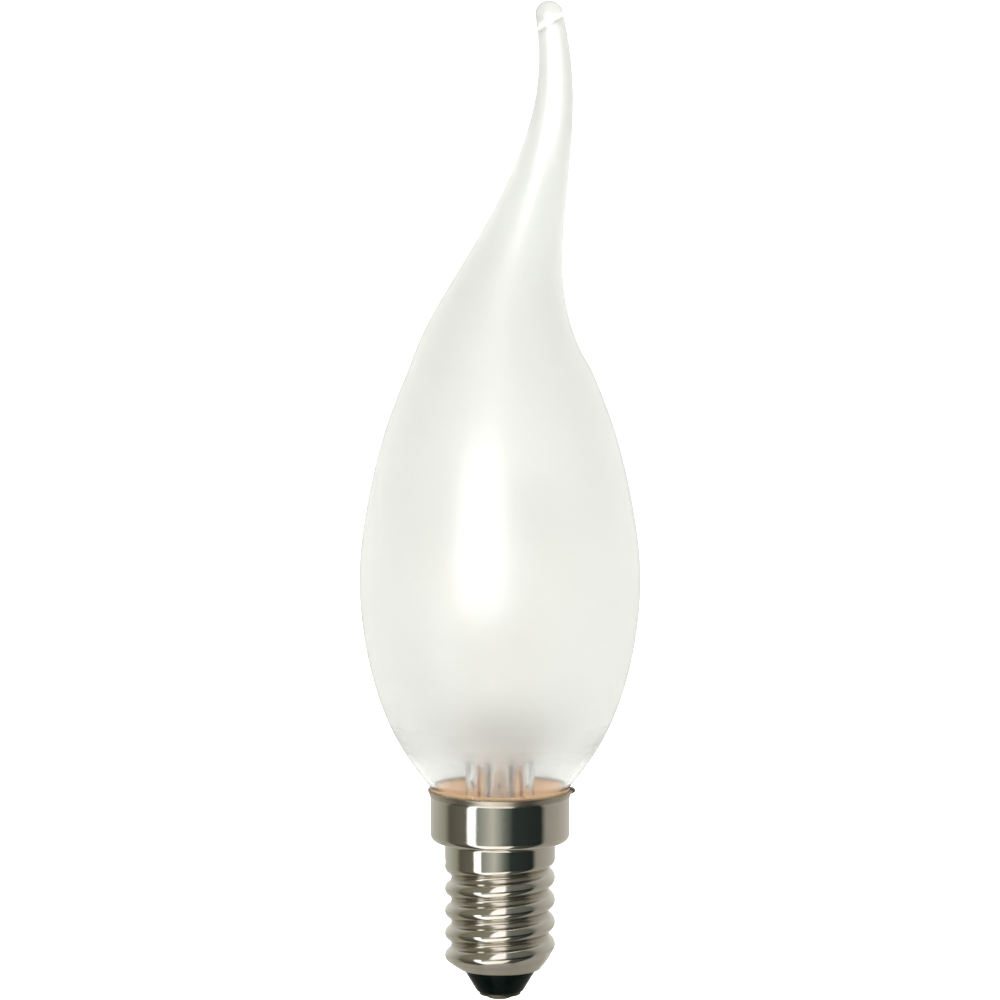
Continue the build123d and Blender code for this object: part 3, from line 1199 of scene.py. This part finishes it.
    def build_button(self) -> None:
        """Moulds the black glass button: a cone below the rim and a plug inside the shell."""
        bore = self.eyelet_radius + self.eyelet_wall + self.button_gap
        outline = [
            (bore, self.button_foot),
            (self.button_foot_radius, self.button_foot),
            (self.button_neck_radius, self.rim_height),
            (self.button_inside, self.button_shoulder),
            (self.button_inside, self.button_top),
            (self.button_hollow_radius, self.button_top - self.button_hollow),
            (bore, self.button_top - self.button_hollow),
        ]
        bm = turn(outline, self.button_steps, closed=True)
        round_ring(bm, outline[1], self.button_foot_round, 5)
        round_ring(bm, outline[2], self.button_neck_round, 3)
        self.finishes.place(bm, "glass_button", "black_glass", ["cap_insulator"])

    def build_contact(self) -> None:
        """Stamps the contact's disc with its eyelet, and runs the solder dome under it."""
        foot = self.button_foot - self.contact_thickness
        tube = self.eyelet_radius + self.eyelet_wall
        outline = [
            (self.eyelet_radius, foot),
            (self.contact_radius, foot),
            (self.contact_radius, self.button_foot),
            (tube, self.button_foot),
            (tube, self.button_foot + self.eyelet_height),
            (self.eyelet_radius, self.button_foot + self.eyelet_height),
        ]
        bm = turn(outline, self.contact_steps, closed=True)
        round_ring(bm, outline[1], self.contact_round, 4)
        round_ring(bm, outline[4], self.eyelet_round, 2)
        self.finishes.place(bm, "contact_disc", "contact_brass", ["contact_plate"])
        ball = (self.dome_radius**2 + foot**2) / (2 * foot)
        reach = math.asin(self.dome_radius / ball)
        plug, top = self.eyelet_radius - self.dome_gap, foot + self.dome_plug
        section = [(0.0, top), (plug, top), (plug, foot), (self.dome_radius, foot)]
        for count in range(1, self.dome_rings + 1):
            angle = reach * (1.0 - count / self.dome_rings)
            section.append((ball * math.sin(angle), ball * (1.0 - math.cos(angle))))
        bm = turn(section, self.dome_steps, closed=False)
        margin = self.dome_margin
        roughen(bm, self.dome_lumps, [vert for vert in bm.verts if margin < vert.co.z / MM < foot - margin])
        # The dome's solder is darkened to paint shade.
        self.finishes.place(bm, "contact_dome", "shade_darkened_solder", ["contact_solder"])

    def build_side_solder(self) -> None:
        """Drops the solder bead that joins the side wire to the lip."""
        bm = bmesh.new()
        radius, height = self.lip_radius - self.side_inset, self.lip_height - self.side_sink
        bmesh.ops.create_icosphere(bm, subdivisions=4, radius=self.side_bead * MM)
        bmesh.ops.scale(bm, verts=bm.verts[:], vec=self.side_stretch)
        roughen(bm, self.side_lumps)
        bmesh.ops.translate(bm, verts=bm.verts[:], vec=Vector((radius, 0.0, height)) * MM)
        self.finishes.place(bm, "side_bead", "tin_solder", ["side_solder"])

    def build_cement(self) -> None:
        """Fills the room between skirt and neck with cement that creeps up the glass a little."""
        gap, edge = self.cement_gap, self.lip_radius - self.sheet
        crept = self.lip_height + self.cement_rise
        glass = smooth_line(self.bulb.stations()[: self.cement_stations], self.cement_spacing)
        inside = self.skirt_radius - self.sheet - gap
        outline = [
            *[(radius + gap, height) for radius, height in glass if height < crept + self.cement_slope],
            (edge - self.cement_slope, crept),
            (edge - gap, self.lip_height + gap),
            (inside, self.skirt_top),
            (inside, self.bulb.mouth_height),
        ]
        bm = turn(outline, self.cement_steps, closed=True)
        bare = bm.verts.layers.float.new("bare")
        top = [vert for vert in bm.verts if vert.co.z / MM > self.lip_height + gap / 2]
        roughen(bm, self.cement_lumps, top)
        for vert in top:
            vert[bare] = float(vert.co.xy.length / MM > edge - self.cement_bare)
        self.finishes.place(bm, "cement_ring", "capping_cement", ["capping_cement"])

    def build(self) -> None:
        """Builds every piece of the cap."""
        self.build_shell()
        self.build_button()
        self.build_contact()
        self.build_side_solder()
        self.build_cement()


@dataclass
class StemMount:
    """What stands inside the bulb: the glass stem, the lead and support wires, and the coil."""

    finishes: FinishSet
    coil_radius: float = 0.35
    coil_wire: float = 0.06
    coil_pitch: float = 0.26
    coil_corners: tuple[Point, ...] = ((-5.6, 57.9), (-3.6, 63.0), (3.6, 63.0), (5.6, 57.9))
    coil_bend: float = 1.5
    arch_step: float = 0.05
    turn_steps: int = 12
    wire_sides: int = 6

    def smooth_copy(self, node: str, name: str, finish: str) -> Piece:
        """Makes a welded, smooth-shaded copy of a CAD node, whose own mesh stays as it is.

        Args:
            node: The CAD node.
            name: The copy's name.
            finish: The name of its finish.

        Returns:
            The copy's object.
        """
        bm = bmesh.new()
        bm.from_mesh(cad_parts[node].data)
        bmesh.ops.remove_doubles(bm, verts=bm.verts[:], dist=WELD)
        return self.finishes.place(bm, name, finish, [node], sharp=35.0)

    def arch(self) -> list[Vector]:
        """Draws the coil's centre line: straight runs whose corners are eased over the bend's reach.

        Returns:
            Its points, across and up.
        """
        line = [Vector(self.coil_corners[0])]
        for first, second in zip(map(Vector, self.coil_corners), map(Vector, self.coil_corners[1:])):
            count = round((second - first).length / self.arch_step)
            line += [first.lerp(second, number / count) for number in range(1, count + 1)]
        reach = round(self.coil_bend / 2 / self.arch_step)
        eased = []
        for place in range(len(line)):
            near = min(reach, place, len(line) - 1 - place)
            window = line[place - near : place + near + 1]
            eased.append(sum(window, Vector((0.0, 0.0))) / len(window))
        return eased

    def build_coil(self) -> None:
        """Winds the tungsten coil straight, and then arches it between the lead wires."""
        line = self.arch()
        length = sum((second - first).length for first, second in zip(line, line[1:]))
        turns = round(length / self.coil_pitch)
        steps = turns * self.turn_steps
        bm = bmesh.new()
        wire = {"radius": self.coil_wire * MM, "segments": self.wire_sides}
        ring = bmesh.ops.create_circle(bm, cap_ends=False, **wire)["verts"]
        edges = list({edge for vert in ring for edge in vert.link_edges})
        bmesh.ops.translate(bm, verts=ring, vec=(0.0, (self.coil_radius - self.coil_wire) * MM, 0.0))
        bmesh.ops.spin(
            bm,
            geom=ring + edges,
            cent=(0.0, 0.0, 0.0),
            axis=(1.0, 0.0, 0.0),
            dvec=(length * MM / steps, 0.0, 0.0),
            angle=FULL_TURN * turns,
            steps=steps,
            use_merge=False,
        )
        bmesh.ops.holes_fill(bm, edges=bm.edges[:], sides=self.wire_sides)
        bmesh.ops.recalc_face_normals(bm, faces=bm.faces[:])
        for vert in bm.verts:
            spot = min(max(vert.co.x / (length * MM), 0.0), 1.0) * (len(line) - 1)
            low = min(int(spot), len(line) - 2)
            middle = line[low].lerp(line[low + 1], spot - low)
            along = (line[low + 1] - line[low]).normalized()
            up = Vector((-along.y, along.x)) * vert.co.z
            vert.co = (middle.x * MM + up.x, vert.co.y, middle.y * MM + up.y)
        self.finishes.place(bm, "coil", "tungsten", ["filament"])

    def build(self) -> Piece:
        """Builds every piece of the mount.

        Returns:
            The glass stem's object.
        """
        stem = self.smooth_copy("glass_stem", "flared_stem", "stem_glass")
        for lead in ("contact_lead", "side_lead"):
            self.smooth_copy(f"{lead}_wire", lead, "lead_copper")
        for support in ("left_support", "right_support"):
            self.smooth_copy(f"{support}_wire", support, "support_metal")
        self.build_coil()
        return stem


@dataclass(frozen=True)
class LightBand:
    """One level band of the studio's surroundings.

    Attributes:
        foot: The lower border's height on the unit sphere round the lamp.
        blur: How far the border is softened.
        zones: Colours by azimuth, in degrees from the camera's side; the first comes round again at 180.
    """

    foot: float
    blur: float
    zones: dict[float, Colour]


NADIR = LightBand(foot=-1.0, blur=0.0, zones={-180.0: (0.42, 0.41, 0.37)})
FLOOR_GLOW = LightBand(
    foot=-0.95,
    blur=0.04,
    zones={
        -180.0: (0.5, 0.48, 0.43), -104.0: (0.34, 0.33, 0.27), -90.0: (0.07, 0.06, 0.04),
        -58.0: (0.1, 0.1, 0.08), -50.0: (1.5, 1.47, 1.44), 20.0: (1.3, 1.24, 1.08), 28.0: (0.1, 0.1, 0.08),
        70.0: (0.04, 0.04, 0.035), 88.0: (0.36, 0.35, 0.3),
    },
)
LOW = LightBand(
    foot=-0.5,
    blur=0.06,
    zones={
        -180.0: (0.7, 0.68, 0.64), -130.0: (0.5, 0.5, 0.44), -104.0: (0.34, 0.34, 0.26),
        -92.0: (0.11, 0.105, 0.08), -58.0: (0.16, 0.155, 0.12), -53.0: (2.2, 2.2, 2.2),
        -43.0: (2.2, 2.2, 2.2), -39.0: (0.27, 0.29, 0.26), -12.0: (0.6, 0.6, 0.53), 8.0: (0.17, 0.19, 0.16),
        22.0: (0.03, 0.04, 0.038), 72.0: (0.02, 0.026, 0.024), 82.0: (0.34, 0.33, 0.28),
        120.0: (0.48, 0.45, 0.4),
    },
)
LEVEL = LightBand(
    foot=-0.12,
    blur=0.03,
    zones={
        -180.0: (0.9, 0.9, 0.87), -130.0: (0.6, 0.59, 0.54), -104.0: (0.36, 0.35, 0.3),
        -90.0: (0.2, 0.19, 0.135), -24.0: (0.27, 0.25, 0.19), -18.0: (1.5, 1.39, 1.36),
        8.0: (1.5, 1.39, 1.36), 13.0: (0.3, 0.29, 0.26), 24.0: (0.16, 0.165, 0.14),
        70.0: (0.13, 0.135, 0.115), 86.0: (0.36, 0.35, 0.3), 130.0: (0.6, 0.59, 0.54),
    },
)
HIGH = LightBand(
    foot=0.38,
    blur=0.06,
    zones={
        -180.0: (0.8, 0.8, 0.77), -104.0: (0.38, 0.37, 0.32), -88.0: (0.21, 0.2, 0.145),
        -24.0: (0.29, 0.27, 0.2), -18.0: (1.45, 1.34, 1.31), 8.0: (1.45, 1.34, 1.31), 13.0: (0.3, 0.29, 0.26),
        24.0: (0.18, 0.18, 0.15), 70.0: (0.15, 0.15, 0.125), 86.0: (0.36, 0.35, 0.3),
    },
)
CEILING = LightBand(foot=0.93, blur=0.04, zones={-180.0: (1.15, 1.12, 1.06)})


@dataclass
class Studio:
    """The light tent round the lamp, the softbox for the glass, the pale floor and the camera.

    Attributes:
        shelf: The shared effects.
        glass: The pieces that the softbox lights.
    """

    shelf: EffectShelf
    glass: Sequence[Piece]
    camera_place: Place = (0.0, -0.892, 0.180)
    camera_aim: Place = (0.0, 0.0, 0.063)
    camera_clip: Point = (0.01, 50.0)
    lens: float = 261.0
    sensor: float = 36.0
    floor_half: float = 6.0
    floor_cells: int = 8
    through_left: Colour = (2.2, 2.2, 2.17)
    through_right: Colour = (1.71, 1.71, 1.68)
    softbox_place: Place = (-0.0994, -0.3251, 0.108)
    softbox_size: Point = (0.208, 0.224)
    softbox_glow: float = 8.5
    watts_per_glow: float = 4.0
    bands: tuple[LightBand, ...] = (NADIR, FLOOR_GLOW, LOW, LEVEL, HIGH, CEILING)

    @staticmethod
    def ramp(bench: NodeBench, place: Socket, zones: dict[float, Colour]) -> Socket:
        """Adds a colour ramp round the horizon.

        Args:
            bench: The world's bench.
            place: The share of the way round.
            zones: Colours by azimuth, in degrees.

        Returns:
            The colour's socket.
        """
        node = bench.add("ShaderNodeValToRGB", {"Fac": place})
        zones = {**zones, 180.0: zones[-180.0]}
        stops = node.color_ramp.elements
        while len(stops) < len(zones):
            stops.new(0.5)
        for stop, (azimuth, colour) in zip(stops, zones.items()):
            stop.position = (azimuth + 180.0) / 360.0
            stop.color = (*colour, 1.0)
        return node.outputs["Color"]

    def build_tent(self) -> None:
        """Builds the tent, band over band: even white through glass, and plain white for the camera."""
        world = bpy.data.worlds.new("light_tent")
        world.use_nodes = True
        bench = NodeBench(world.node_tree)
        split = bench.axes(bench.add("ShaderNodeTexCoord").outputs["Generated"])
        turned = bench.math("ARCTAN2", split[0], bench.math("MULTIPLY", split[1], -1.0))
        place = bench.spread(turned, (-math.pi, 0.0), (math.pi, 1.0))
        tent = self.ramp(bench, place, self.bands[0].zones)
        for band in self.bands[1:]:
            risen = bench.spread(split[2], (band.foot - band.blur / 2, 0.0), (band.foot + band.blur / 2, 1.0))
            tent = bench.blend(risen, tent, self.ramp(bench, place, band.zones))
        path = bench.add("ShaderNodeLightPath").outputs
        side = bench.spread(split[0], (-1.0, 0.0), (1.0, 1.0))
        through = bench.blend(side, self.through_left, self.through_right)
        tent = bench.blend(path["Is Transmission Ray"], tent, through, "LIGHTEN")
        shown = bench.blend(path["Is Camera Ray"], tent, WHITE)
        light = bench.add("ShaderNodeBackground", {"Color": shown, "Strength": 1.0})
        bench.add("ShaderNodeOutputWorld", {"Surface": light.outputs[0]})
        bpy.context.scene.world = world

    @staticmethod
    def stand(thing: bpy.types.Object, place: Place, aim: Place) -> None:
        """Stands a light or the camera in the scene.

        Args:
            thing: The light or the camera.
            place: Where it stands, in metres.
            aim: Where it looks, in metres.
        """
        spot = Vector(place)
        turned = (Vector(aim) - spot).to_track_quat("-Z", "Y").to_matrix().to_4x4()
        thing.matrix_world = Matrix.Translation(spot) @ turned
        bpy.context.scene.collection.objects.link(thing)

    def build_softbox(self) -> None:
        """Hangs the softbox beside the camera, whose glow only the glass carries."""
        data = bpy.data.lights.new("softbox", "AREA")
        data.shape = "RECTANGLE"
        data.size, data.size_y = self.softbox_size
        data.energy = self.watts_per_glow * self.softbox_glow * data.size * data.size_y
        softbox = bpy.data.objects.new("softbox", data)
        softbox.visible_camera = False
        softbox.visible_transmission = False
        lit = bpy.data.collections.new("softbox_lit")
        for piece in self.glass:
            lit.objects.link(piece)
        softbox.light_linking.receiver_collection = lit
        self.stand(softbox, self.softbox_place, (0.0, 0.0, self.softbox_place[2]))

    def build_floor(self) -> None:
        """Lays the pale floor, which lights the lamp but isn't mirrored in it."""
        bm = bmesh.new()
        cells = self.floor_cells
        bmesh.ops.create_grid(bm, x_segments=cells, y_segments=cells, size=self.floor_half)
        mesh = bpy.data.meshes.new("floor")
        bm.to_mesh(mesh)
        bm.free()
        mesh.materials.append(PaleFloor("pale_floor").material(self.shelf))
        floor = bpy.data.objects.new("floor", mesh)
        bpy.context.scene.collection.objects.link(floor)
        floor.visible_glossy = False

    def build_camera(self) -> None:
        """Sets the camera where the photograph was taken from."""
        data = bpy.data.cameras.new("camera")
        data.lens = self.lens
        data.sensor_width = self.sensor
        data.clip_start, data.clip_end = self.camera_clip
        camera = bpy.data.objects.new("camera", data)
        self.stand(camera, self.camera_place, self.camera_aim)
        bpy.context.scene.camera = camera

    def build(self) -> None:
        """Builds the whole studio round the lamp."""
        self.build_tent()
        self.build_softbox()
        self.build_floor()
        self.build_camera()
        bpy.context.scene.view_settings.view_transform = "Standard"


def main() -> None:
    """Builds the lamp's sub-assemblies and the studio in order."""
    logging.basicConfig(level=logging.INFO, format="%(name)s: %(message)s")
    shelf = EffectShelf()
    finishes = FinishSet(shelf)
    bulb = GlassBulb(finishes)
    envelope = bulb.build()
    ScrewCap(finishes, bulb).build()
    stem = StemMount(finishes).build()
    Studio(shelf, [envelope, stem]).build()


if __name__ == "__main__":
    main()
